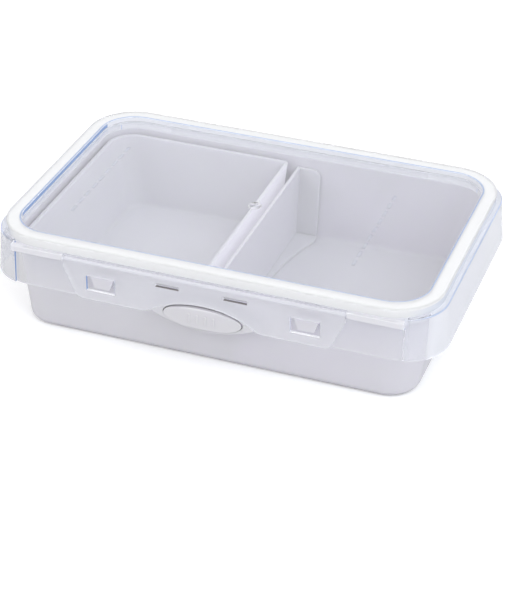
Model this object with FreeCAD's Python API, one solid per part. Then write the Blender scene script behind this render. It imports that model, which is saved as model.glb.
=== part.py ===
import FreeCAD, Part
import math
import os

# Two-compartment lunch box with a clear lid that snaps shut along both long sides.
# Units are millimetres. The origin is at the centre of the underside, +Z is up, +X runs along
# the long side and -Y faces the front. "Inset" is a distance in from the lid frame's outline.

os.makedirs("parts", exist_ok=True)
V = FreeCAD.Vector

# ---- driving dimensions ---------------------------------------------------------------------
HEIGHT = 54.0                # underside of the tub to the top of the lid frame
FRAME_X = 107.3              # half length of the lid frame
FRAME_Y = 69.4               # half width of the lid frame
FRAME_R = 24.0               # plan radius of the lid frame's corners
MIN_RADIUS = 1.5             # smallest plan radius that an inset outline may shrink to

# lid
FRAME_BAND = 7.3             # width of the raised frame around the window
FRAME_WALL = 1.2             # outer wall of the frame, and the wall above the seal
TONGUE_WALL = 1.3            # inner wall of the frame, which hangs inside the tub
FRAME_BOTTOM = HEIGHT - 4.9
TONGUE_BOTTOM = HEIGHT - 7.2
WINDOW_TOP = HEIGHT - 2.3
WINDOW_THICK = 1.6
SEAL_GROOVE_TOP = HEIGHT - 1.5
SKIRT_BOTTOM = HEIGHT - 26.0
LIP_INSET = 0.1              # thin skirt in front of the long walls of the tub
LIP_THICK = 1.0
LIP_SETBACK = 0.6            # the thin skirt's foot stands this far behind the wing's outline
WING_START = 95.0            # the thick skirt wraps the ends of the box from here outwards
WING_END_THICK = 1.5         # wall that closes the wing's end and joins it to the thin skirt
WING_TOP_X = 109.6
WING_TOP_Y = 69.4
WING_BOTTOM_X = 111.3
WING_BOTTOM_Y = 70.0
WING_R = 22.0
WING_TOP = HEIGHT - 4.4
WING_SHOULDER = 1.4
BAR_END = 95.5               # outer end of the hinge bars beside each flap
BAR_TOP = HEIGHT - 4.8
BAR_BOTTOM = HEIGHT - 8.0
GATE_RADIUS = 3.4            # moulding gate mark at the centre of the window
GATE_DEPTH = 0.5
DASH_ROWS = (-80.8, 60.3)    # rows of small raised dashes under the window
DASH_COUNT = 9
DASH_PITCH = 8.0
DASH_SIZE = (1.6, 5.0, 0.15)

# flaps
FLAP_FACE = 71.2             # outer face of a closed flap, from the centre
FLAP_THICK = 1.4
FLAP_TOP_X = 68.6
FLAP_FOOT_X = 62.0
FLAP_BEND = HEIGHT - 10.5    # the ends are upright above this height and lean in below it
FLAP_CORNER_R = 4.0
HINGE_Y = 70.0
HINGE_Z = HEIGHT - 6.6
BARREL_R = 1.3
TRUNNION_R = 0.78
TRUNNION_REACH = 2.3
FLAP_END_GAP = 0.4
SOCKET_R = 0.85
CATCH_X = 50.0               # centre of each catch and its window
WINDOW_HALF = 7.1
WINDOW_LOW = HEIGHT - 21.0
WINDOW_HIGH = HEIGHT - 13.3
SLOT_IN = 10.9
SLOT_OUT = 22.3
SLOT_LOW = HEIGHT - 11.4
SLOT_HIGH = HEIGHT - 10.0
ARCH_HALF = 27.0             # arched cut-out over the push button
ARCH_FOOT = HEIGHT - 25.6
ARCH_RISE = 8.4

# tub
TUB_RIM = HEIGHT - 7.6       # top of the tub's flange
TUB_RIM_INSET = 4.9          # outer face of the tub's wall at the rim
DRAFT = 0.096                # the walls lean in by this much for each mm down
TUB_WALL = 1.9
FLOOR_TOP = 3.4
FLOOR_RECESS = 1.4           # the underside stands on a foot ring this high
FOOT_RING = 7.0
TUB_FLOOR_FILLET = 4.0
TUB_INNER_FILLET = 3.0
FLANGE_INSET = 1.8
FLANGE_THICK = 1.8
RIDGE_OUT = 2.8              # ridge that presses into the seal
RIDGE_IN = 4.8
RIDGE_TOP = HEIGHT - 5.0
MOUTH_FILLET = 0.6
CATCH_REACH = 69.4
CATCH_TOP_HALF = 6.0
CATCH_FOOT_HALF = 3.8
CATCH_LOW = HEIGHT - 20.2
CATCH_HIGH = HEIGHT - 13.6

# seal
SEAL_OUT = 1.35
SEAL_IN = 5.85
SEAL_TOP = HEIGHT - 1.6
SEAL_BOTTOM = HEIGHT - 4.95
SEAL_BEAD = 0.5

# push buttons
POD_CENTRE = HEIGHT - 25.6   # height of the two tips of the lens-shaped pod
POD_HALF = 27.0
POD_RISE = 8.8
POD_DROP = 6.7
POD_RIM = 67.8               # the bezel sits on the pod's rim
BEZEL_FACE = 69.4
BUTTON_Z = HEIGHT - 24.9
BUTTON_HALF_X = 19.2
BUTTON_HALF_Z = 5.8
BUTTON_GAP = 0.45
BUTTON_FACE = 71.0
BUTTON_FLANGE_X = 1.0
BUTTON_FLANGE_Z = 0.6
POCKET_GAP = 0.35
BUTTON_BACK = 66.5
BUTTON_FLANGE_FRONT = 67.6
BUTTON_SPHERE = 170.0
GRIP_COUNT = 4
GRIP_PITCH = 4.0
GRIP_SIZE = (1.0, 0.5, 4.4)
SPRING_HALF = 8.0
SPRING_WIDTH = 4.0
SPRING_THICK = 0.3
SPRING_CREST = 64.9
SPRING_FOOT = 64.15

# tray for the left compartment
TRAY_TOP = HEIGHT - 10.0
TRAY_LEFT = -97.7
TRAY_RIGHT = -3.5            # flat right wall beside the divider
TRAY_HALF_Y = 59.6
TRAY_R = 13.0                # plan radius of the two left corners
TRAY_RIGHT_R = 2.0           # rounding of the two right corners
TRAY_LEFT_DRAFT = 0.2        # the left wall leans in more than the others
TRAY_WALL = 1.5
TRAY_BOTTOM = 4.6
TRAY_FLOOR = 1.5
TRAY_FILLET = 3.2
TRAY_RIM = 0.9               # the rim runs round the left, front and back walls
TRAY_RIM_HIGH = 1.8
PAD_R = 4.0
PAD_INSET = 16.0

# divider for the right compartment
DIVIDER_X = 0.8
DIVIDER_THICK = 1.4
DIVIDER_TOP = HEIGHT - 13.0
DIVIDER_BOTTOM = FLOOR_TOP + 0.2
DIVIDER_CLEARANCE = 0.35
FLANGE_END_X = 13.2
FLANGE_CORNER_R = 4.0
FOOT_THICK = 1.4
FOOT_WAIST = 2.1             # width of the foot halfway along the plate
FOOT_SWEEP_Y = 52.0          # the foot widens towards the flanges over this distance


# ---- shared shapes --------------------------------------------------------------------------
def outline(half_x, half_y, radius, z, centre_x=0.0):
    """Closed wire of a rounded rectangle at height z."""
    r = max(radius, MIN_RADIUS)
    ax = half_x - r
    ay = half_y - r
    edges = []
    corners = ((ax, ay, 0), (-ax, ay, 90), (-ax, -ay, 180), (ax, -ay, 270))
    for index, (cx, cy, start) in enumerate(corners):
        points = []
        for turn in (0, 45, 90):
            angle = math.radians(start + turn)
            x = centre_x + cx + r * math.cos(angle)
            y = cy + r * math.sin(angle)
            points.append(V(x, y, z))
        edges.append(Part.Arc(*points).toShape())
        next_x, next_y, next_start = corners[(index + 1) % 4]
        angle = math.radians(next_start)
        joint = V(centre_x + next_x + r * math.cos(angle), next_y + r * math.sin(angle), z)
        edges.append(Part.LineSegment(points[2], joint).toShape())
    return Part.Wire(edges)


def inset_size(inset):
    """Half length, half width and corner radius of the frame's outline moved in by inset."""
    return FRAME_X - inset, FRAME_Y - inset, FRAME_R - inset


def prism(half_x, half_y, radius, low, high, centre_x=0.0):
    face = Part.Face(outline(half_x, half_y, radius, low, centre_x))
    return face.extrude(V(0, 0, high - low))


def inset_prism(inset, low, high):
    return prism(*inset_size(inset), low, high)


def inset_ring(outer, inner, low, high):
    return inset_prism(outer, low, high).cut(inset_prism(inner, low, high))


def taper(lower, low, upper, high, centre_x=0.0):
    """Solid between two rounded rectangles, each given as (half_x, half_y, radius)."""
    wires = [outline(*lower, low, centre_x), outline(*upper, high, centre_x)]
    return Part.makeLoft(wires, True, True)


def block(x0, x1, y0, y1, z0, z1):
    return Part.makeBox(x1 - x0, y1 - y0, z1 - z0, V(x0, y0, z0))


def rod(x0, x1, y, z, radius):
    """Cylinder along X."""
    return Part.makeCylinder(radius, x1 - x0, V(x0, y, z), V(1, 0, 0))


def fuse(*shapes):
    whole = shapes[0].multiFuse(list(shapes[1:]))
    return whole.removeSplitter()


def turned(shape):
    """The same piece on the other long side of the box."""
    copy = shape.copy()
    copy.rotate(V(0, 0, 0), V(0, 0, 1), 180)
    return copy


def both_sides(shape):
    return [shape, turned(shape)]


def edges_at(shape, test):
    """Edges whose every sampled point passes the test."""
    chosen = []
    for edge in shape.Edges:
        first, last = edge.ParameterRange
        samples = [edge.valueAt(first + (last - first) * part) for part in (0.0, 0.5, 1.0)]
        if all(test(point) for point in samples):
            chosen.append(edge)
    return chosen


def band_depth(point):
    """Distance of a point in from the frame's outline."""
    x = abs(point.x)
    y = abs(point.y)
    corner_x = FRAME_X - FRAME_R
    corner_y = FRAME_Y - FRAME_R
    if x > corner_x and y > corner_y:
        return FRAME_R - math.hypot(x - corner_x, y - corner_y)
    return min(FRAME_X - x, FRAME_Y - y)


def near(value, target, tolerance=0.02):
    return abs(value - target) < tolerance


def plate(wire_points, y_near, y_far):
    """Flat piece from an outline in X and Z, between two distances in front of the centre."""
    corners = [V(x, -y_near, z) for x, z in wire_points]
    face = Part.Face(Part.makePolygon(corners + corners[:1]))
    return face.extrude(V(0, y_near - y_far, 0))


def oval(half_x, half_z, y_near, y_far):
    """Elliptic prism in front of the centre of the long wall."""
    ellipse = Part.Ellipse(V(0, 0, 0), half_x, half_z)
    shape = ellipse.toShape()
    shape.rotate(V(0, 0, 0), V(1, 0, 0), 90)
    shape.translate(V(0, -y_near, BUTTON_Z))
    return Part.Face(Part.Wire(shape)).extrude(V(0, y_near - y_far, 0))


def export(shape, name):
    solids = shape.Solids
    piece = solids[0] if len(solids) == 1 else Part.makeCompound(solids)
    assert piece.isValid(), name
    piece.exportStep("parts/" + name + ".step")
    box = piece.BoundBox
    sizes = (box.XMin, box.XMax, box.YMin, box.YMax, box.ZMin, box.ZMax)
    print(name, "solids", len(solids), "volume", round(piece.Volume, 1), [round(s, 2) for s in sizes])


# ---- tub ------------------------------------------------------------------------------------
def tub_wall_inset(z):
    """Inset of the tub's outer face at height z."""
    return TUB_RIM_INSET + (TUB_RIM - z) * DRAFT


def tub_inner_inset(z):
    return tub_wall_inset(z) + TUB_WALL


def lens(half, rise, drop, centre_z, y_near, y_far):
    """Lens-shaped prism: two arcs that meet in two tips."""
    tip_left = V(-half, -y_near, centre_z)
    tip_right = V(half, -y_near, centre_z)
    upper = Part.Arc(tip_left, V(0, -y_near, centre_z + rise), tip_right).toShape()
    lower = Part.Arc(tip_right, V(0, -y_near, centre_z - drop), tip_left).toShape()
    face = Part.Face(Part.Wire([upper, lower]))
    return face.extrude(V(0, y_near - y_far, 0))


def catch(x):
    """Trapezoid catch that shows in a flap's window."""
    points = [
        (x - CATCH_TOP_HALF, CATCH_HIGH),
        (x + CATCH_TOP_HALF, CATCH_HIGH),
        (x + CATCH_FOOT_HALF, CATCH_LOW),
        (x - CATCH_FOOT_HALF, CATCH_LOW),
    ]
    return plate(points, FRAME_Y - tub_inner_inset(CATCH_LOW) + 0.5, CATCH_REACH)


def make_tub():
    outer = taper(inset_size(tub_wall_inset(0)), 0, inset_size(tub_wall_inset(TUB_RIM)), TUB_RIM)
    outer = outer.makeFillet(TUB_FLOOR_FILLET, edges_at(outer, lambda p: near(p.z, 0)))
    flange = inset_prism(FLANGE_INSET, TUB_RIM - FLANGE_THICK, TUB_RIM)
    flange = flange.makeFillet(0.5, edges_at(flange, lambda p: near(p.z, TUB_RIM - FLANGE_THICK)))
    ridge = inset_prism(RIDGE_OUT, TUB_RIM - FLANGE_THICK, RIDGE_TOP)
    ridge = ridge.makeFillet(0.6, edges_at(ridge, lambda p: near(p.z, RIDGE_TOP)))
    catches = [catch(CATCH_X), catch(-CATCH_X)]
    wall_in = FRAME_Y - tub_inner_inset(POD_CENTRE - POD_DROP) + 0.5
    pod = lens(POD_HALF, POD_RISE, POD_DROP, POD_CENTRE, wall_in, POD_RIM)
    front = [pod] + catches
    body = fuse(outer, flange, ridge, *front, *[turned(piece) for piece in front])
    cavity = taper(
        inset_size(tub_inner_inset(FLOOR_TOP)), FLOOR_TOP,
        inset_size(tub_inner_inset(TUB_RIM)), TUB_RIM,
    )
    cavity = cavity.makeFillet(TUB_INNER_FILLET, edges_at(cavity, lambda p: near(p.z, FLOOR_TOP)))
    mouth = inset_prism(RIDGE_IN, TUB_RIM, HEIGHT)
    recess = inset_prism(tub_wall_inset(0) + FOOT_RING, 0, FLOOR_RECESS)
    body = body.cut(fuse(cavity, mouth, recess))

    def is_mouth(p):
        return near(p.z, TUB_RIM) and near(band_depth(p), tub_inner_inset(TUB_RIM), 0.05)

    body = body.makeFillet(MOUTH_FILLET, edges_at(body, is_mouth))
    pocket = oval(
        BUTTON_HALF_X + BUTTON_FLANGE_X + POCKET_GAP,
        BUTTON_HALF_Z + BUTTON_FLANGE_Z + POCKET_GAP, SPRING_FOOT, POD_RIM,
    )
    for cut in both_sides(pocket):
        body = body.cut(cut)
    return body.removeSplitter()


# ---- lid ------------------------------------------------------------------------------------
def between_x(shape, low, high):
    """The parts of a shape whose distance from the middle along X lies between two values."""
    reach = WING_BOTTOM_X + 10
    ends = [
        block(low, high, -reach, reach, 0, HEIGHT),
        block(-high, -low, -reach, reach, 0, HEIGHT),
    ]
    return shape.common(Part.makeCompound(ends))


def lip_block(setback):
    """Solid inside the thin skirt's outer face, moved in by setback."""
    lower = (
        WING_BOTTOM_X - 1.8 - setback, WING_BOTTOM_Y - LIP_SETBACK - setback, WING_R - setback)
    return taper(lower, SKIRT_BOTTOM, inset_size(LIP_INSET + setback), FRAME_BOTTOM + 0.5)


def make_wings():
    upper = (WING_TOP_X, WING_TOP_Y, WING_R)
    lower = (WING_BOTTOM_X, WING_BOTTOM_Y, WING_R)
    outer = taper(lower, SKIRT_BOTTOM, upper, WING_TOP)
    outer = outer.makeFillet(0.8, edges_at(outer, lambda p: near(p.z, WING_TOP)))
    inner_low = (WING_BOTTOM_X - 1.5, WING_BOTTOM_Y - 1.4, WING_R - 1.5)
    inner_high = (WING_TOP_X - 2.2, WING_TOP_Y - 1.3, WING_R - 1.5)
    hollow = taper(inner_low, SKIRT_BOTTOM, inner_high, WING_TOP - WING_SHOULDER)
    groove = inset_prism(FRAME_WALL, SKIRT_BOTTOM, HEIGHT)
    shell = between_x(outer.cut(hollow).cut(groove), WING_START, WING_BOTTOM_X + 1)
    end_walls = between_x(outer.cut(groove), WING_START, WING_START + WING_END_THICK)
    return shell, end_walls.cut(lip_block(LIP_THICK))


def flap_opening():
    """Opening in the thin skirt, hidden behind the closed flap."""
    margin = 1.4
    top = FRAME_BOTTOM - 0.2
    points = [
        (FLAP_TOP_X - margin, top),
        (FLAP_TOP_X - margin, FLAP_BEND),
        (FLAP_FOOT_X - margin, SKIRT_BOTTOM + FLAP_CORNER_R / 2),
        (FLAP_FOOT_X - margin, SKIRT_BOTTOM - 1),
    ]
    points += [(-x, z) for x, z in reversed(points)]
    opening = plate(points, FRAME_Y - 3, FRAME_Y + 3)
    room = FLAP_TOP_X + FLAP_END_GAP
    barrel_room = block(-room, room, -FRAME_Y - 3, -FRAME_Y + 3, HINGE_Z - 2 * BARREL_R, top)
    return opening.fuse(barrel_room)


def make_lips():
    """Thin skirts along the two long sides."""
    shell = lip_block(0).cut(lip_block(LIP_THICK))
    shell = shell.cut(inset_prism(FRAME_WALL, FRAME_BOTTOM, HEIGHT))
    reach = WING_START + WING_END_THICK
    shell = shell.common(block(-reach, reach, -WING_BOTTOM_Y, WING_BOTTOM_Y, 0, HEIGHT))
    for opening in both_sides(flap_opening()):
        shell = shell.cut(opening)
    return shell


def hinge_bars():
    """Bars beside the front flap."""
    inner = FLAP_TOP_X + FLAP_END_GAP
    y_in = FRAME_Y - LIP_INSET - LIP_THICK
    bar = block(inner, BAR_END, -FLAP_FACE, -y_in, BAR_BOTTOM, BAR_TOP)
    bar = bar.makeFillet(0.5, edges_at(bar, lambda p: near(p.y, -FLAP_FACE)))
    return [bar, bar.mirror(V(0, 0, 0), V(1, 0, 0))]


def hinge_sockets():
    """Blind holes in the bars for the front flap's trunnions."""
    inner = FLAP_TOP_X + FLAP_END_GAP
    outer = inner + TRUNNION_REACH
    return [
        rod(inner, outer, -HINGE_Y, HINGE_Z, SOCKET_R),
        rod(-outer, -inner, -HINGE_Y, HINGE_Z, SOCKET_R),
    ]


def window_dashes():
    """Rows of raised dashes under the window."""
    size_x, size_y, size_z = DASH_SIZE
    base = WINDOW_TOP - WINDOW_THICK
    dashes = []
    for row_x in DASH_ROWS:
        for index in range(DASH_COUNT):
            y = (index - (DASH_COUNT - 1) / 2) * DASH_PITCH
            x0 = row_x - size_x / 2
            y0 = y - size_y / 2
            dashes.append(block(x0, x0 + size_x, y0, y0 + size_y, base - size_z, base + 0.1))
    return dashes


def make_lid():
    frame = inset_ring(0, FRAME_BAND, FRAME_BOTTOM, HEIGHT)
    for radius, low, high in ((1.1, -1, 1), (0.5, FRAME_BAND - 1, FRAME_BAND + 1)):
        rim = edges_at(frame, lambda p: near(p.z, HEIGHT) and low < band_depth(p) < high)
        frame = frame.makeFillet(radius, rim)
    window = inset_prism(FRAME_BAND - 0.4, WINDOW_TOP - WINDOW_THICK, WINDOW_TOP)
    tongue = inset_ring(FRAME_BAND - TONGUE_WALL, FRAME_BAND, TONGUE_BOTTOM, WINDOW_TOP - 0.4)
    groove = inset_ring(FRAME_WALL, FRAME_BAND - TONGUE_WALL, SKIRT_BOTTOM, SEAL_GROOVE_TOP)
    bars = hinge_bars()
    body = fuse(
        frame.cut(groove), window, tongue, make_lips(), *make_wings(),
        *bars, *[turned(bar) for bar in bars], *window_dashes(),
    )
    for socket in hinge_sockets():
        for cut in both_sides(socket):
            body = body.cut(cut)
    sphere_r = (GATE_RADIUS ** 2 + GATE_DEPTH ** 2) / (2 * GATE_DEPTH)
    gate = Part.makeSphere(sphere_r, V(0, 0, WINDOW_TOP - GATE_DEPTH + sphere_r))
    return body.cut(gate).removeSplitter()


def make_seal():
    ring = inset_ring(SEAL_OUT, SEAL_IN, SEAL_BOTTOM, SEAL_TOP)
    edges = edges_at(ring, lambda p: near(p.z, SEAL_TOP))
    return ring.makeFillet(SEAL_BEAD, edges)


# ---- flaps ----------------------------------------------------------------------------------
def flap_blank():
    """Outline of the flap with rounded feet and the arch over the push button."""
    y = -(FLAP_FACE - FLAP_THICK)

    def point(x, z):
        return V(x, y, z)

    top_left = point(-FLAP_TOP_X, HINGE_Z)
    top_right = point(FLAP_TOP_X, HINGE_Z)
    bend_right = point(FLAP_TOP_X, FLAP_BEND)
    foot_right = point(FLAP_FOOT_X, SKIRT_BOTTOM)
    arch_right = point(ARCH_HALF, ARCH_FOOT)
    arch_left = point(-ARCH_HALF, ARCH_FOOT)
    toe_right = point(ARCH_HALF + 1.5, SKIRT_BOTTOM)
    toe_left = point(-ARCH_HALF - 1.5, SKIRT_BOTTOM)
    foot_left = point(-FLAP_FOOT_X, SKIRT_BOTTOM)
    bend_left = point(-FLAP_TOP_X, FLAP_BEND)
    arch = Part.Arc(arch_right, point(0, ARCH_FOOT + ARCH_RISE), arch_left).toShape()
    lines = [
        (top_left, top_right), (top_right, bend_right), (bend_right, foot_right),
        (foot_right, toe_right), (toe_right, arch_right),
    ]
    edges = [Part.LineSegment(a, b).toShape() for a, b in lines]
    edges.append(arch)
    lines = [
        (arch_left, toe_left), (toe_left, foot_left), (foot_left, bend_left), (bend_left, top_left),
    ]
    edges += [Part.LineSegment(a, b).toShape() for a, b in lines]
    blank = Part.Face(Part.Wire(edges)).extrude(V(0, -FLAP_THICK, 0))

    def is_foot(p):
        return near(abs(p.x), FLAP_FOOT_X) and near(p.z, SKIRT_BOTTOM)

    return blank.makeFillet(FLAP_CORNER_R, edges_at(blank, is_foot))


def make_flap():
    blank = flap_blank()
    y_in = FLAP_FACE - FLAP_THICK - 1
    y_out = FLAP_FACE + 1
    for sign in (-1, 1):
        centre = sign * CATCH_X
        window = block(
            centre - WINDOW_HALF, centre + WINDOW_HALF, -y_out, -y_in, WINDOW_LOW, WINDOW_HIGH)
        slot_x = sorted((sign * SLOT_IN, sign * SLOT_OUT))
        slot = block(slot_x[0], slot_x[1], -y_out, -y_in, SLOT_LOW, SLOT_HIGH)
        blank = blank.cut(window).cut(slot)
    rim = edges_at(blank, lambda p: near(p.y, -FLAP_FACE) and p.z < HINGE_Z - 0.1)
    blank = blank.makeFillet(0.25, rim)
    barrel = rod(-FLAP_TOP_X, FLAP_TOP_X, -HINGE_Y, HINGE_Z, BARREL_R)
    reach = FLAP_TOP_X + TRUNNION_REACH
    trunnions = rod(-reach, reach, -HINGE_Y, HINGE_Z, TRUNNION_R)
    return fuse(blank, barrel, trunnions)


# ---- push buttons ---------------------------------------------------------------------------
def make_bezel():
    face = lens(POD_HALF, POD_RISE, POD_DROP, POD_CENTRE, POD_RIM, BEZEL_FACE)
    front = edges_at(face, lambda p: near(p.y, -BEZEL_FACE))
    lower = [edge for edge in front if edge.CenterOfMass.z < POD_CENTRE]
    face = face.makeFillet(0.5, lower)
    hole = oval(BUTTON_HALF_X + BUTTON_GAP, BUTTON_HALF_Z + BUTTON_GAP, POD_RIM - 1, BEZEL_FACE + 1)
    return face.cut(hole)


def make_button():
    cap = oval(BUTTON_HALF_X, BUTTON_HALF_Z, BUTTON_BACK, BUTTON_FACE)
    cap = cap.makeFillet(1.3, edges_at(cap, lambda p: near(p.y, -BUTTON_FACE)))
    crown = Part.makeSphere(BUTTON_SPHERE, V(0, BUTTON_SPHERE - BUTTON_FACE, BUTTON_Z))
    cap = cap.common(crown)
    flange = oval(
        BUTTON_HALF_X + BUTTON_FLANGE_X, BUTTON_HALF_Z + BUTTON_FLANGE_Z,
        BUTTON_BACK, BUTTON_FLANGE_FRONT)
    size_x, size_y, size_z = GRIP_SIZE
    pieces = [cap, flange]
    for index in range(GRIP_COUNT):
        x = (index - (GRIP_COUNT - 1) / 2) * GRIP_PITCH
        depth = BUTTON_SPHERE - math.sqrt(BUTTON_SPHERE ** 2 - x ** 2)
        y_out = BUTTON_FACE - depth + size_y / 2
        grip = block(
            x - size_x / 2, x + size_x / 2, -y_out, -y_out + size_y,
            BUTTON_Z - size_z / 2, BUTTON_Z + size_z / 2)
        outer = edges_at(grip, lambda p: near(p.y, -y_out))
        pieces.append(grip.makeFillet(0.2, outer))
    return fuse(*pieces)


def make_spring():
    """Arched leaf spring between the tub's wall and the button."""
    z = BUTTON_Z - SPRING_WIDTH / 2
    outer = [V(-SPRING_HALF, -SPRING_FOOT - SPRING_THICK, z), V(0, -SPRING_CREST, z),
             V(SPRING_HALF, -SPRING_FOOT - SPRING_THICK, z)]
    inner = [V(SPRING_HALF, -SPRING_FOOT, z), V(0, -SPRING_CREST + SPRING_THICK, z),
             V(-SPRING_HALF, -SPRING_FOOT, z)]
    edges = [
        Part.Arc(*outer).toShape(),
        Part.LineSegment(outer[2], inner[0]).toShape(),
        Part.Arc(*inner).toShape(),
        Part.LineSegment(inner[2], outer[0]).toShape(),
    ]
    return Part.Face(Part.Wire(edges)).extrude(V(0, 0, SPRING_WIDTH))


# ---- tray and divider -----------------------------------------------------------------------
def tray_shell(shrink, low, high):
    """Tapered block of the tray, moved in by shrink: round corners on the left, square on the right."""
    far = TRAY_RIGHT + 2 * TRAY_R
    half_x = (far - TRAY_LEFT) / 2

    def lean(z, draft=DRAFT):
        return shrink + (TRAY_TOP - z) * draft

    def section(z):
        return half_x - lean(z, TRAY_LEFT_DRAFT), TRAY_HALF_Y - lean(z), TRAY_R - shrink

    whole = taper(section(low), low, section(high), high, TRAY_LEFT + half_x)
    y = -TRAY_HALF_Y - 1
    corners = [
        V(TRAY_RIGHT - lean(low), y, low), V(TRAY_RIGHT - lean(high), y, high),
        V(far, y, high), V(far, y, low),
    ]
    beyond = Part.Face(Part.makePolygon(corners + corners[:1])).extrude(V(0, -2 * y, 0))
    return whole.cut(beyond)


def tray_rim():
    far = TRAY_RIGHT + 2 * TRAY_R
    half_x = (far - TRAY_LEFT) / 2
    rim = prism(
        half_x + TRAY_RIM, TRAY_HALF_Y + TRAY_RIM, TRAY_R + TRAY_RIM,
        TRAY_TOP - TRAY_RIM_HIGH, TRAY_TOP, TRAY_LEFT + half_x)
    rim = rim.makeFillet(0.7, edges_at(rim, lambda p: near(p.z, TRAY_TOP)))
    y = TRAY_HALF_Y + 2 * TRAY_RIM
    return rim.cut(block(TRAY_RIGHT - TRAY_WALL, far + 2, -y, y, 0, HEIGHT))


def make_tray():
    floor_z = TRAY_BOTTOM + TRAY_FLOOR
    outer = tray_shell(0, TRAY_BOTTOM, TRAY_TOP)

    def is_right_corner(p):
        lean = (TRAY_TOP - p.z) * DRAFT
        return near(p.x, TRAY_RIGHT - lean) and near(abs(p.y), TRAY_HALF_Y - lean)

    outer = outer.makeFillet(TRAY_FILLET, edges_at(outer, lambda p: near(p.z, TRAY_BOTTOM)))
    outer = outer.makeFillet(TRAY_RIGHT_R, edges_at(outer, is_right_corner))
    inner = tray_shell(TRAY_WALL, floor_z, TRAY_TOP)
    inner = inner.makeFillet(TRAY_FILLET - TRAY_WALL, edges_at(inner, lambda p: near(p.z, floor_z)))
    pads = []
    for x in (TRAY_LEFT + PAD_INSET, TRAY_RIGHT - PAD_INSET):
        for y in (-TRAY_HALF_Y + PAD_INSET, TRAY_HALF_Y - PAD_INSET):
            pads.append(Part.makeCylinder(PAD_R, TRAY_BOTTOM - FLOOR_TOP + 0.2, V(x, y, FLOOR_TOP)))
    return fuse(outer, tray_rim(), *pads).cut(inner)


def make_divider():
    def half_width(z):
        return FRAME_Y - tub_inner_inset(z) - DIVIDER_CLEARANCE

    def trapezoid(x0, x1, shrink):
        low = half_width(DIVIDER_BOTTOM) - shrink
        high = half_width(DIVIDER_TOP) - shrink
        corners = [
            V(x0, -low, DIVIDER_BOTTOM), V(x0, low, DIVIDER_BOTTOM),
            V(x0, high, DIVIDER_TOP), V(x0, -high, DIVIDER_TOP),
        ]
        return Part.Face(Part.makePolygon(corners + corners[:1])).extrude(V(x1 - x0, 0, 0))

    plate_end = DIVIDER_X + DIVIDER_THICK
    body = trapezoid(DIVIDER_X, FLANGE_END_X, 0).cut(trapezoid(plate_end, FLANGE_END_X, DIVIDER_THICK))

    def is_flange_corner(p):
        return near(p.x, FLANGE_END_X) and near(p.z, DIVIDER_TOP)

    body = body.makeFillet(FLANGE_CORNER_R, edges_at(body, is_flange_corner))
    reach = half_width(DIVIDER_BOTTOM) - DIVIDER_THICK / 2
    foot = block(
        plate_end - 0.2, FLANGE_END_X, -reach, reach, DIVIDER_BOTTOM, DIVIDER_BOTTOM + FOOT_THICK)
    ends = [V(FLANGE_END_X, side * FOOT_SWEEP_Y, DIVIDER_BOTTOM - 1) for side in (-1, 1)]
    waist = V(plate_end + FOOT_WAIST, 0, DIVIDER_BOTTOM - 1)
    sweep = [Part.Arc(ends[0], waist, ends[1]).toShape(), Part.LineSegment(ends[1], ends[0]).toShape()]
    foot = foot.cut(Part.Face(Part.Wire(sweep)).extrude(V(0, 0, FOOT_THICK + 2)))
    whole = fuse(body, foot)
    corner_r = TUB_INNER_FILLET + 0.5
    for sign in (-1, 1):
        y = sign * half_width(DIVIDER_BOTTOM)
        wedge = Part.Face(Part.makePolygon([
            V(0, y + sign, DIVIDER_BOTTOM - 1), V(0, y - sign * corner_r, DIVIDER_BOTTOM - 1),
            V(0, y + sign, DIVIDER_BOTTOM + corner_r), V(0, y + sign, DIVIDER_BOTTOM - 1),
        ]))
        whole = whole.cut(wedge.extrude(V(FLANGE_END_X + 1, 0, 0)))
    return whole


# ---- write the pieces -----------------------------------------------------------------------
export(make_tub(), "tub")
export(make_lid(), "lid")
export(make_seal(), "lid_seal")
export(make_tray(), "inner_tray")
export(make_divider(), "divider")
for maker, name in (
    (make_flap, "flap"),
    (make_bezel, "button_bezel"),
    (make_button, "push_button"),
    (make_spring, "button_spring"),
):
    front, back = both_sides(maker())
    export(front, "front_" + name)
    export(back, "back_" + name)
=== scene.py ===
import math

import bpy
from mathutils import Matrix, Vector

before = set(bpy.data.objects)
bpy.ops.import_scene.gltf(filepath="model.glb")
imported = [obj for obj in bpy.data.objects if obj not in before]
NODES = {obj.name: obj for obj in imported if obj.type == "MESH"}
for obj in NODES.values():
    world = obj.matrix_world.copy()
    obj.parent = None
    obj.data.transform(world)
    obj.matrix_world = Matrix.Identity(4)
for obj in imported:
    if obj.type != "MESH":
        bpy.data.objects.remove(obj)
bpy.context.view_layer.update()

# ---- measures, in metres ----------------------------------------------------------------------
# A pair holds the lower and the upper limit of a place.

# The lid's frame and window. An inset is a distance inwards from the frame's outline.
FRAME_X = 0.1073
FRAME_Y = 0.0694
FRAME_R = 0.024
FRAME_TOP_Z = 0.0540
FRAME_BAND = 0.0073
FRAME_HAZE_INSET = FRAME_BAND + 0.0003
INNER_EDGE_INSET = (FRAME_BAND - 0.001, FRAME_BAND + 0.0002)
INNER_EDGE_LOW_Z = FRAME_TOP_Z - 0.0005
WINDOW_WALL_INSET = FRAME_BAND - 0.0007
WINDOW_TOP_Z = 0.0518
WINDOW_BASE_Z = 0.0502
TONGUE_WALL = 0.0013
TONGUE_INSET = FRAME_BAND - TONGUE_WALL - 0.0002
GATE_RING = (0.0028, 0.0034)
DASH_Z = (0.0498, 0.05)

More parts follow.
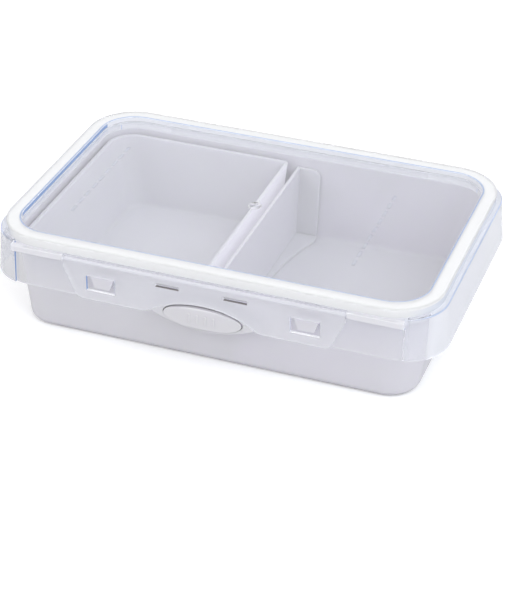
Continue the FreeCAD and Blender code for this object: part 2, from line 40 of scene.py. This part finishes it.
# The lid's wings, thin skirt and hinge bars.
WING_TOP_Z = 0.0496
WING_START_X = 0.095
WING_END_X = 0.1045
WING_TOP_BAND_Z = (WING_TOP_Z - 0.0001, WING_TOP_Z + 0.0001)
WING_EDGE_Z = (WING_TOP_Z - 0.0009, WING_TOP_Z - 0.0001)
WING_CUT_X = (WING_START_X - 0.001, WING_START_X + 0.0003)
WING_CUT_TOP_Z = WING_TOP_Z - 0.0006
RIGHT_CUT_LOW_Z = 0.0445
SHOULDER_X = (WING_START_X, FRAME_X - 0.001)
FRAME_SIDE_INSET = (-0.0003, 0.0006)
FRAME_SIDE_Z = (WING_TOP_Z + 0.0001, FRAME_TOP_Z - 0.0012)
WING_TOP_INSET = 0.0003
RIM_TOP_Z = 0.0285
BAR_X = (0.069, 0.0956)
BAR_Z = (0.0459, WING_TOP_Z)

# The flaps, the push pads and the tray. The gap around a pad is a ring: its outer edge is an ellipse
# with these half axes, and its inner edge has GAP_INNER of them.
SLOT_X = (0.0105, 0.0226)
SLOT_Z = (0.0424, 0.0442)
FLAP_EDGE_TOP_Z = 0.045
FLAP_WINDOW_X = (0.042, 0.058)
PAD_Z = 0.0291
# The gap's walls are painted with shade.
GAP_HALF_X = 0.0205
GAP_HALF_Z = 0.0070
GAP_INNER = 0.78
GAP_FADE_Z = (-0.002, 0.003)
TRAY_FLAT_WALL_X = -0.012

# ---- looks ------------------------------------------------------------------------------------
# Limits for one part of a face's normal: 0 is edge-on to that axis and 1 is straight along it.
NARROW_FACE = 0.6
LEVEL_FACE = 0.6
CUT_FACE = 0.7
STEEP_FACE = 0.8
UPWARD_FACE = 0.85
TRAY_WALL_FACE = 0.9
END_WALL_FACE = 0.97
WING_EDGE_FACE = (0.2, 0.98)

# How milky each place on the clear plastic is, from 0 to 1.
WINDOW_HAZE = 0.05
WING_HAZE = 0.12
WING_END_HAZE = 0.35
FRAME_HAZE = 0.42
# The walls inside the frame are milky to carry their painted light.
WALL_HAZE = 0.75
BAR_HAZE = 0.6
RIM_HAZE = 0.75
TONGUE_HAZE = 0.45
GATE_HAZE = 0.2
FLAP_HAZE = 0.38
# The flap's edges are milkier to carry their painted highlight.
FLAP_EDGE_HAZE = 0.85
BLUE_HAZE = 0.8

# How strong the painted blue light on each cut face of the clear plastic is, from 0 to 1: the plastic's
# own blue tint, painted as strong as light through its edges shows it.
END_WALL_BLUE = 1.0
SIDE_WALL_BLUE = 0.05
INNER_EDGE_TOP_BLUE = 0.7
INNER_EDGE_SIDE_BLUE = 0.25
FRAME_SIDE_BLUE = 0.3
WING_TOP_BLUE = 0.12
WING_EDGE_BLUE = 0.65
DASH_BLUE = 0.2
LEFT_FLAP_WINDOW_BLUE = 1.0
RIGHT_FLAP_WINDOW_BLUE = 0.3

# Colours of the haze in the clear plastic, of the painted blue light on its cut faces and of the painted
# shade in deep slots and gaps.
FRAME_MILK = (0.80, 0.795, 0.785, 1)
# Painted light: white haze that brightens the upright walls inside the frame and its tongue, and a
# painted highlight along the flap's edges.
PAINTED_LIGHT_MILK = (0.97, 0.97, 0.98, 1)
SKIRT_MILK = (0.77, 0.76, 0.79, 1)
WING_MILK = (0.82, 0.825, 0.88, 1)
WING_END_MILK = (0.88, 0.885, 0.93, 1)
RIM_MILK = (0.70, 0.69, 0.73, 1)
FLAP_MILK = (0.73, 0.725, 0.765, 1)
PAINTED_EDGE_BLUE = (0.27, 0.40, 0.70, 1)
SLOT_PAINTED_SHADE = (0.19, 0.175, 0.17, 1)
GAP_PAINTED_SHADE = (0.47, 0.455, 0.475, 1)

# Base and pale colours of the moulded pieces.
LILAC_COLOURS = ((0.66, 0.65, 0.69), (0.68, 0.67, 0.71))
TRAY_COLOURS = ((0.69, 0.68, 0.725), (0.71, 0.70, 0.745))
PAD_COLOURS = ((0.66, 0.65, 0.68), (0.68, 0.67, 0.70))
# Painted light: colour and strength of the emission that brightens the tray's wall beside the divider.
PAINTED_WALL_LIGHT = (0.93, 0.93, 1.0, 1)
PAINTED_LIGHT_STRENGTH = 0.28

# The studio. The camera sees the floor and the world brighter than they light the object.
FLOOR_HALF = 3.0
FLOOR_LIT = (0.66, 0.66, 0.67, 1)
FLOOR_SEEN = (0.95, 0.95, 0.95, 1)
FLOOR_LIFT = 0.12
WORLD_LIGHT = 0.95
WORLD_SEEN = 1.05
LIGHT_TARGET = (0, 0, 0.02)
KEY_BLUE = (0.89, 0.94, 1.0)
CLEAR_BOUNCES = 24
DIFFUSE_BOUNCES = 6

# ---- camera -----------------------------------------------------------------------------------
CAMERA_LOCATION = (0.26651, -0.73181, 0.49554)
CAMERA_AZIMUTH = 20.078
CAMERA_ELEVATION = 32.675
CAMERA_ROLL = 0.369
CAMERA_LENS = 110.58
SENSOR_WIDTH = 36.0


def make_camera():
    azimuth = math.radians(CAMERA_AZIMUTH)
    elevation = math.radians(CAMERA_ELEVATION)
    roll = math.radians(CAMERA_ROLL)
    back = Vector((
        math.sin(azimuth) * math.cos(elevation),
        -math.cos(azimuth) * math.cos(elevation),
        math.sin(elevation),
    ))
    right = Vector((math.cos(azimuth), math.sin(azimuth), 0.0))
    up = back.cross(right)
    x_axis = right * math.cos(roll) + up * math.sin(roll)
    y_axis = up * math.cos(roll) - right * math.sin(roll)
    turn = Matrix((x_axis, y_axis, back)).transposed().to_4x4()
    data = bpy.data.cameras.new("camera")
    data.lens = CAMERA_LENS
    data.sensor_width = SENSOR_WIDTH
    data.clip_start = 0.01
    data.clip_end = 50.0
    camera = bpy.data.objects.new("camera", data)
    camera.matrix_world = Matrix.Translation(CAMERA_LOCATION) @ turn
    bpy.context.scene.collection.objects.link(camera)
    bpy.context.scene.camera = camera


# ---- node helpers -----------------------------------------------------------------------------
class Nodes:
    """Short way to build a material's node tree."""

    def __init__(self, name):
        self.material = bpy.data.materials.new(name)
        self.material.use_nodes = True
        self.tree = self.material.node_tree
        self.tree.nodes.clear()
        self.output = self.add("ShaderNodeOutputMaterial")
        self.coordinates = self.add("ShaderNodeTexCoord")

    def add(self, kind, inputs=None, **settings):
        node = self.tree.nodes.new(kind)
        for name, value in settings.items():
            setattr(node, name, value)
        for name, value in (inputs or {}).items():
            if isinstance(value, bpy.types.NodeSocket):
                self.tree.links.new(value, node.inputs[name])
            else:
                node.inputs[name].default_value = value
        return node

    def noise(self, scale, detail):
        return self.add("ShaderNodeTexNoise", {
            "Vector": self.coordinates.outputs["Object"], "Scale": scale, "Detail": detail,
        }).outputs["Fac"]

    def span(self, value, low, high):
        """Maps 0..1 to low..high."""
        return self.add("ShaderNodeMapRange", {
            "Value": value, "To Min": low, "To Max": high}).outputs["Result"]

    def ramp(self, value, low, high):
        """Maps low..high to 0..1, and stays at 0 or 1 beyond them."""
        return self.add("ShaderNodeMapRange", {
            "Value": value, "From Min": low, "From Max": high}).outputs["Result"]

    def mix_colour(self, factor, first, second):
        mix = self.add("ShaderNodeMix", data_type="RGBA")
        for socket, value in ((0, factor), (6, first), (7, second)):
            if isinstance(value, bpy.types.NodeSocket):
                self.tree.links.new(value, mix.inputs[socket])
            else:
                mix.inputs[socket].default_value = value
        return mix.outputs[2]

    def maths(self, operation, *values):
        return self.add("ShaderNodeMath", dict(enumerate(values)), operation=operation).outputs[0]

    def above(self, value, limit):
        """1 where value is greater than limit, else 0."""
        return self.maths("GREATER_THAN", value, limit)

    def between(self, value, low, high):
        """1 where value lies between low and high, else 0."""
        return self.both(self.above(value, low), self.above(high, value))

    def largest(self, *values):
        result = values[0]
        for value in values[1:]:
            result = self.maths("MAXIMUM", result, value)
        return result

    def both(self, first, second):
        """Product of two factors."""
        return self.maths("MULTIPLY", first, second)

    def length(self, first, second):
        """Length of the vector that has these two parts."""
        squares = self.maths("ADD", self.both(first, first), self.both(second, second))
        return self.maths("SQRT", squares)

    def size_of(self, value):
        """The value without its sign."""
        return self.maths("ABSOLUTE", value)

    def place_part(self, axis):
        """One coordinate of the shaded point, in metres."""
        parts = self.add("ShaderNodeSeparateXYZ", {0: self.coordinates.outputs["Object"]})
        return parts.outputs[axis]

    def normal_part(self, axis):
        parts = self.add("ShaderNodeSeparateXYZ", {0: self.coordinates.outputs["Normal"]})
        return parts.outputs[axis]

    def facing(self, axis, limit):
        """1 on faces that point along the axis, either way, by more than limit, else 0."""
        return self.above(self.size_of(self.normal_part(axis)), limit)

    def edge_on(self, axis, limit):
        """1 on faces that point along the axis, either way, by less than limit, else 0."""
        return self.above(limit, self.size_of(self.normal_part(axis)))

    def bump(self, height, strength, distance):
        return self.add("ShaderNodeBump", {
            "Height": height, "Strength": strength, "Distance": distance,
        }).outputs["Normal"]

    def finish(self, shader, volume=None):
        self.tree.links.new(shader, self.output.inputs["Surface"])
        if volume is not None:
            self.tree.links.new(volume, self.output.inputs["Volume"])
        return self.material


# ---- materials --------------------------------------------------------------------------------
def moulded_plastic(name, base, pale, glow=None, gap=None):
    """Satin moulded polypropylene: fine grain, faint flow marks, a little light inside it.

    glow is a function that picks a thin wall that gets painted light: an emission that stands in for
    light coming through it from behind. gap picks the walls of a narrow gap, which are painted dark as
    shade."""
    nodes = Nodes(name)
    flow = nodes.noise(14.0, 2.0)
    grain = nodes.noise(2600.0, 2.0)
    colour = nodes.mix_colour(flow, (*base, 1), (*pale, 1))
    if gap is not None:
        # Painted shade on the walls of a narrow gap.
        colour = nodes.mix_colour(gap(nodes), colour, GAP_PAINTED_SHADE)
    shader = nodes.add("ShaderNodeBsdfPrincipled", {
        "Base Color": colour,
        "Roughness": nodes.span(grain, 0.20, 0.30),
        "IOR": 1.49,
        "Subsurface Weight": 0.5,
        "Subsurface Radius": (1.0, 0.9, 1.1),
        "Subsurface Scale": 0.003,
        "Normal": nodes.bump(grain, 0.03, 0.0001),
    })
    if glow is not None:
        # Painted light: the picked wall glows, though it is no lamp.
        shader.inputs["Emission Color"].default_value = PAINTED_WALL_LIGHT
        nodes.tree.links.new(nodes.span(glow(nodes), 0.0, PAINTED_LIGHT_STRENGTH), shader.inputs["Emission Strength"])
    return nodes.finish(shader.outputs["BSDF"])


def tray_wall_painted_light(nodes):
    """The outer face of the tray's flat right wall, beside the divider, which gets painted light."""
    return nodes.both(
        nodes.above(nodes.normal_part("X"), TRAY_WALL_FACE),
        nodes.above(nodes.place_part("X"), TRAY_FLAT_WALL_X))


def pad_gap_painted_shade(nodes):
    """The walls of the gap around the upper half of a push pad, which is an ellipse; shade is painted on
    them.
    """
    height = nodes.maths("SUBTRACT", nodes.place_part("Z"), PAD_Z)
    from_middle = nodes.length(
        nodes.maths("DIVIDE", nodes.place_part("X"), GAP_HALF_X),
        nodes.maths("DIVIDE", height, GAP_HALF_Z))
    wall = nodes.both(nodes.between(from_middle, GAP_INNER, 1.0), nodes.edge_on("Y", NARROW_FACE))
    return nodes.both(wall, nodes.ramp(height, *GAP_FADE_Z))


def clear_plastic(name, milk, haze, blue, shade=None):
    """Clear moulded plastic.

    milk is a function that returns the colour of the haze. haze, blue and shade return a factor from 0 to
    1: how milky a place is, how strong the painted blue light on its cut faces is, and where a face lies
    in a deep slot, which is painted with shade.
    Lamps shine through the plastic, so that what is under the lid is lit."""
    nodes = Nodes(name)
    ripple = nodes.noise(18.0, 0.0)
    # Painted blue light on the cut faces.
    blueness = blue(nodes)
    cloudiness = nodes.maths("MAXIMUM", haze(nodes), nodes.both(blueness, BLUE_HAZE))
    milk_colour = nodes.mix_colour(blueness, milk(nodes), PAINTED_EDGE_BLUE)
    if shade is not None:
        # Painted shade: faces deep in a slot are darkened.
        darkness = shade(nodes)
        cloudiness = nodes.maths("MAXIMUM", cloudiness, darkness)
        milk_colour = nodes.mix_colour(darkness, milk_colour, SLOT_PAINTED_SHADE)
    glass = nodes.add("ShaderNodeBsdfPrincipled", {
        "Base Color": nodes.mix_colour(blueness, (1, 1, 1, 1), PAINTED_EDGE_BLUE),
        "Roughness": 0.03,
        "IOR": 1.49,
        "Transmission Weight": 1.0,
        "Normal": nodes.bump(ripple, 0.01, 0.0002),
    })
    cloud = nodes.add("ShaderNodeBsdfPrincipled", {"Base Color": milk_colour, "Roughness": 0.25})
    body = nodes.add("ShaderNodeMixShader", {
        "Fac": cloudiness, 1: glass.outputs["BSDF"], 2: cloud.outputs["BSDF"]})
    clear = nodes.add("ShaderNodeBsdfTransparent", {"Color": (0.93, 0.935, 0.955, 1)})
    path = nodes.add("ShaderNodeLightPath")
    passes = nodes.maths("MAXIMUM", path.outputs["Is Shadow Ray"], path.outputs["Is Diffuse Ray"])
    shader = nodes.add("ShaderNodeMixShader", {
        "Fac": passes, 1: body.outputs["Shader"], 2: clear.outputs["BSDF"]})
    volume = nodes.add("ShaderNodeVolumeAbsorption", {
        "Color": (0.15, 0.55, 0.95, 1), "Density": 3.0})
    return nodes.finish(shader.outputs["Shader"], volume.outputs["Volume"])


def flap_edges(nodes):
    """The narrow faces around the flap and around its windows, below the hinge barrel, which get a
    painted highlight.
    """
    return nodes.both(
        nodes.edge_on("Y", NARROW_FACE), nodes.above(FLAP_EDGE_TOP_Z, nodes.place_part("Z")))


def flap_milk(nodes):
    """Slightly lilac, and white along the edges as a painted highlight."""
    return nodes.mix_colour(flap_edges(nodes), FLAP_MILK, PAINTED_LIGHT_MILK)


def flap_haze(nodes):
    """Evenly milky, and more so along the edges, to carry their painted highlight."""
    return nodes.span(flap_edges(nodes), FLAP_HAZE, FLAP_EDGE_HAZE)


def flap_painted_blue(nodes):
    """Painted blue light on the upright sides of the flap's windows, fainter at the right one as the
    light falls.
    """
    place = nodes.place_part("X")
    in_window = nodes.both(
        nodes.facing("X", CUT_FACE), nodes.between(nodes.size_of(place), *FLAP_WINDOW_X))
    strength = nodes.span(nodes.above(place, 0.0), LEFT_FLAP_WINDOW_BLUE, RIGHT_FLAP_WINDOW_BLUE)
    return nodes.both(in_window, strength)


def flap_slot_painted_shade(nodes):
    """Upper and lower faces inside the flap's two slots, where shade is painted."""
    across = nodes.between(nodes.size_of(nodes.place_part("X")), *SLOT_X)
    upright = nodes.between(nodes.place_part("Z"), *SLOT_Z)
    return nodes.both(nodes.facing("Z", LEVEL_FACE), nodes.both(across, upright))


def frame_inset(nodes):
    """Distance inwards from the frame's outline, which is a rectangle with round corners."""
    beyond_x = nodes.maths(
        "MAXIMUM", nodes.maths("SUBTRACT", nodes.size_of(nodes.place_part("X")), FRAME_X - FRAME_R), 0.0)
    beyond_y = nodes.maths(
        "MAXIMUM", nodes.maths("SUBTRACT", nodes.size_of(nodes.place_part("Y")), FRAME_Y - FRAME_R), 0.0)
    return nodes.maths("SUBTRACT", FRAME_R, nodes.length(beyond_x, beyond_y))


def frame_walls(nodes):
    """The walls around the window, inside the raised frame."""
    in_frame = nodes.both(
        nodes.above(nodes.place_part("Z"), WINDOW_TOP_Z),
        nodes.above(frame_inset(nodes), WINDOW_WALL_INSET))
    return nodes.both(nodes.edge_on("Z", STEEP_FACE), in_frame)


def on_tongue(nodes):
    """The wall that hangs from the frame into the mouth of the tub."""
    return nodes.both(
        nodes.above(frame_inset(nodes), TONGUE_INSET),
        nodes.above(WINDOW_BASE_Z, nodes.place_part("Z")))


def lid_milk(nodes):
    """White on the walls inside the frame and on its tongue, which is painted light, and greyer on its
    top, the wings and the thin skirt.
    """
    height = nodes.place_part("Z")
    reach = nodes.size_of(nodes.place_part("X"))
    on_top = nodes.both(nodes.above(height, WING_TOP_Z), nodes.above(0.5, frame_walls(nodes)))
    below_frame = nodes.both(nodes.above(WING_TOP_Z, height), nodes.above(0.5, on_tongue(nodes)))
    colour = nodes.mix_colour(nodes.above(WING_START_X, reach), WING_MILK, SKIRT_MILK)
    colour = nodes.mix_colour(nodes.above(RIM_TOP_Z, height), colour, RIM_MILK)
    colour = nodes.mix_colour(nodes.above(reach, WING_END_X), colour, WING_END_MILK)
    colour = nodes.mix_colour(below_frame, PAINTED_LIGHT_MILK, colour)
    return nodes.mix_colour(on_top, colour, FRAME_MILK)


def lid_haze(nodes):
    """The raised frame, its tongue and the hinge bars are milky, the skirt less so.

    The window is clear, apart from the ring of the gate mark in its middle."""
    height = nodes.place_part("Z")
    reach = nodes.size_of(nodes.place_part("X"))
    hinge_bar = nodes.both(nodes.between(reach, *BAR_X), nodes.between(height, *BAR_Z))
    edge_haze = nodes.largest(
        nodes.span(nodes.above(reach, WING_END_X), WING_HAZE, WING_END_HAZE),
        nodes.both(nodes.above(height, WING_TOP_Z), FRAME_HAZE),
        nodes.both(hinge_bar, BAR_HAZE),
        nodes.both(nodes.above(RIM_TOP_Z, height), RIM_HAZE),
        nodes.both(on_tongue(nodes), TONGUE_HAZE))
    outside_window = nodes.above(FRAME_HAZE_INSET, frame_inset(nodes))
    from_middle = nodes.length(nodes.place_part("X"), nodes.place_part("Y"))
    added = nodes.largest(
        nodes.both(outside_window, edge_haze),
        nodes.both(frame_walls(nodes), WALL_HAZE),
        nodes.both(nodes.between(from_middle, *GATE_RING), GATE_HAZE))
    return nodes.maths("ADD", WINDOW_HAZE, added)


def shoulder_painted_blue(nodes, height, inset):
    """Painted blue light on the frame's outer side, the top of the wings and the wings' upper edge."""
    frame_side = nodes.both(
        nodes.between(inset, *FRAME_SIDE_INSET), nodes.between(height, *FRAME_SIDE_Z))
    wing_top = nodes.both(
        nodes.above(WING_TOP_INSET, inset), nodes.between(height, *WING_TOP_BAND_Z))
    wing_edge = nodes.both(
        nodes.between(height, *WING_EDGE_Z),
        nodes.between(nodes.normal_part("Z"), *WING_EDGE_FACE))
    return nodes.largest(
        nodes.both(frame_side, FRAME_SIDE_BLUE),
        nodes.both(wing_top, WING_TOP_BLUE),
        nodes.both(wing_edge, WING_EDGE_BLUE))


def lid_painted_blue(nodes):
    """Painted blue light on the lid's cut faces: the plastic's own blue tint, painted as strong as light
    through its edges shows it, and stronger on the left as the light falls.

    It is strong on the wall inside the left end of the frame and weak on the other walls inside the
    frame. It also shows on the frame's inner edge, the shoulder around the ends of the lid, the raised
    dashes and the upright cut ends of the wings, on the right only near the top."""
    height = nodes.place_part("Z")
    place = nodes.place_part("X")
    reach = nodes.size_of(place)
    inset = frame_inset(nodes)
    end_wall = nodes.above(nodes.normal_part("X"), END_WALL_FACE)
    walls = nodes.both(frame_walls(nodes), nodes.span(end_wall, SIDE_WALL_BLUE, END_WALL_BLUE))
    inner_edge = nodes.both(
        nodes.between(inset, *INNER_EDGE_INSET), nodes.above(height, INNER_EDGE_LOW_Z))
    on_top = nodes.above(nodes.normal_part("Z"), UPWARD_FACE)
    inner_edge_blue = nodes.span(on_top, INNER_EDGE_SIDE_BLUE, INNER_EDGE_TOP_BLUE)
    dashes = nodes.both(nodes.between(height, *DASH_Z), nodes.above(inset, FRAME_BAND))
    cut = nodes.both(nodes.facing("X", CUT_FACE), nodes.above(WING_CUT_TOP_Z, height))
    shown = nodes.largest(nodes.above(0.0, place), nodes.above(height, RIGHT_CUT_LOW_Z))
    return nodes.largest(
        walls,
        nodes.both(inner_edge, inner_edge_blue),
        nodes.both(dashes, DASH_BLUE),
        nodes.both(nodes.ramp(reach, *SHOULDER_X), shoulder_painted_blue(nodes, height, inset)),
        nodes.both(nodes.both(cut, shown), nodes.between(reach, *WING_CUT_X)))


def silicone(name):
    """Soft white rubber with a fine matt grain."""
    nodes = Nodes(name)
    grain = nodes.noise(1800.0, 2.0)
    shader = nodes.add("ShaderNodeBsdfPrincipled", {
        "Base Color": (0.96, 0.96, 0.965, 1),
        "Roughness": nodes.span(grain, 0.5, 0.62),
        "IOR": 1.41,
        "Subsurface Weight": 0.3,
        "Subsurface Radius": (1.0, 1.0, 1.0),
        "Subsurface Scale": 0.001,
        "Normal": nodes.bump(grain, 0.1, 0.0001),
    })
    return nodes.finish(shader.outputs["BSDF"])


def spring_steel(name):
    """Bright steel strip with fine level scratches."""
    nodes = Nodes(name)
    scratch = nodes.add("ShaderNodeTexNoise", {
        "Vector": nodes.add("ShaderNodeMapping", {
            "Vector": nodes.coordinates.outputs["Object"], "Scale": (60.0, 60.0, 2400.0),
        }).outputs["Vector"],
        "Scale": 1.0, "Detail": 3.0,
    }).outputs["Fac"]
    shader = nodes.add("ShaderNodeBsdfPrincipled", {
        "Base Color": (0.62, 0.63, 0.65, 1),
        "Metallic": 1.0,
        "Roughness": nodes.span(scratch, 0.22, 0.42),
        "Normal": nodes.bump(scratch, 0.2, 0.00005),
    })
    return nodes.finish(shader.outputs["BSDF"])


def assign(node, material):
    """Gives a CAD node its material."""
    mesh_object = NODES[node]
    for slot in mesh_object.material_slots:
        slot.material = material
    if not mesh_object.material_slots:
        mesh_object.data.materials.append(material)


LILAC = moulded_plastic("lilac_plastic", *LILAC_COLOURS)
TRAY = moulded_plastic("tray_plastic", *TRAY_COLOURS, glow=tray_wall_painted_light)
BEZEL = moulded_plastic("bezel_plastic", *LILAC_COLOURS, gap=pad_gap_painted_shade)
PALE = moulded_plastic("pale_plastic", *PAD_COLOURS, gap=pad_gap_painted_shade)
CLEAR = clear_plastic("clear_plastic", lid_milk, lid_haze, lid_painted_blue)
MILKY = clear_plastic("milky_plastic", flap_milk, flap_haze, flap_painted_blue, flap_slot_painted_shade)
assign("tub", LILAC)
assign("inner_tray", TRAY)
assign("divider", LILAC)
assign("lid", CLEAR)
assign("lid_seal", silicone("silicone"))
STEEL = spring_steel("spring_steel")
for side in ("front", "back"):
    assign(side + "_flap", MILKY)
    assign(side + "_button_bezel", BEZEL)
    assign(side + "_push_button", PALE)
    assign(side + "_button_spring", STEEL)


# ---- stage ------------------------------------------------------------------------------------
def make_floor():
    half = FLOOR_HALF
    mesh = bpy.data.meshes.new("floor")
    mesh.from_pydata(
        [(-half, -half, 0), (half, -half, 0), (half, half, 0), (-half, half, 0)], [], [(0, 1, 2, 3)])
    floor = bpy.data.objects.new("floor", mesh)
    bpy.context.scene.collection.objects.link(floor)
    nodes = Nodes("floor")
    path = nodes.add("ShaderNodeLightPath")
    seen = path.outputs["Is Camera Ray"]
    matt = nodes.add("ShaderNodeBsdfDiffuse", {
        "Color": nodes.mix_colour(seen, FLOOR_LIT, FLOOR_SEEN)})
    lift = nodes.add("ShaderNodeEmission", {"Strength": nodes.span(seen, 0.0, FLOOR_LIFT)})
    shader = nodes.add("ShaderNodeAddShader", {0: matt.outputs["BSDF"], 1: lift.outputs["Emission"]})
    mesh.materials.append(nodes.finish(shader.outputs["Shader"]))


def area_light(name, location, size, power, colour=(1, 1, 1)):
    """Square lamp that points at the object."""
    data = bpy.data.lights.new(name, "AREA")
    data.shape = "SQUARE"
    data.size = size
    data.energy = power
    data.color = colour
    light = bpy.data.objects.new(name, data)
    light.location = location
    light.rotation_mode = "QUATERNION"
    direction = Vector(LIGHT_TARGET) - Vector(location)
    light.rotation_quaternion = direction.to_track_quat("-Z", "Y")
    bpy.context.scene.collection.objects.link(light)


def make_world():
    world = bpy.data.worlds.new("studio")
    world.use_nodes = True
    tree = world.node_tree
    background = tree.nodes["Background"]
    background.inputs["Color"].default_value = (1, 1, 1, 1)
    seen = tree.nodes.new("ShaderNodeLightPath").outputs["Is Camera Ray"]
    strength = tree.nodes.new("ShaderNodeMapRange")
    strength.inputs["To Min"].default_value = WORLD_LIGHT
    strength.inputs["To Max"].default_value = WORLD_SEEN
    tree.links.new(seen, strength.inputs["Value"])
    tree.links.new(strength.outputs["Result"], background.inputs["Strength"])
    bpy.context.scene.world = world


make_camera()
make_floor()
make_world()
area_light("key_light", location=(1.3, -0.6, 1.3), size=1.4, power=12.7, colour=KEY_BLUE)
area_light("fill_light", location=(-1.2, -1.2, 1.2), size=1.2, power=7.0)

scene = bpy.context.scene
scene.view_settings.view_transform = "Standard"
scene.cycles.max_bounces = CLEAR_BOUNCES
scene.cycles.transmission_bounces = CLEAR_BOUNCES
scene.cycles.transparent_max_bounces = CLEAR_BOUNCES
scene.cycles.diffuse_bounces = DIFFUSE_BOUNCES
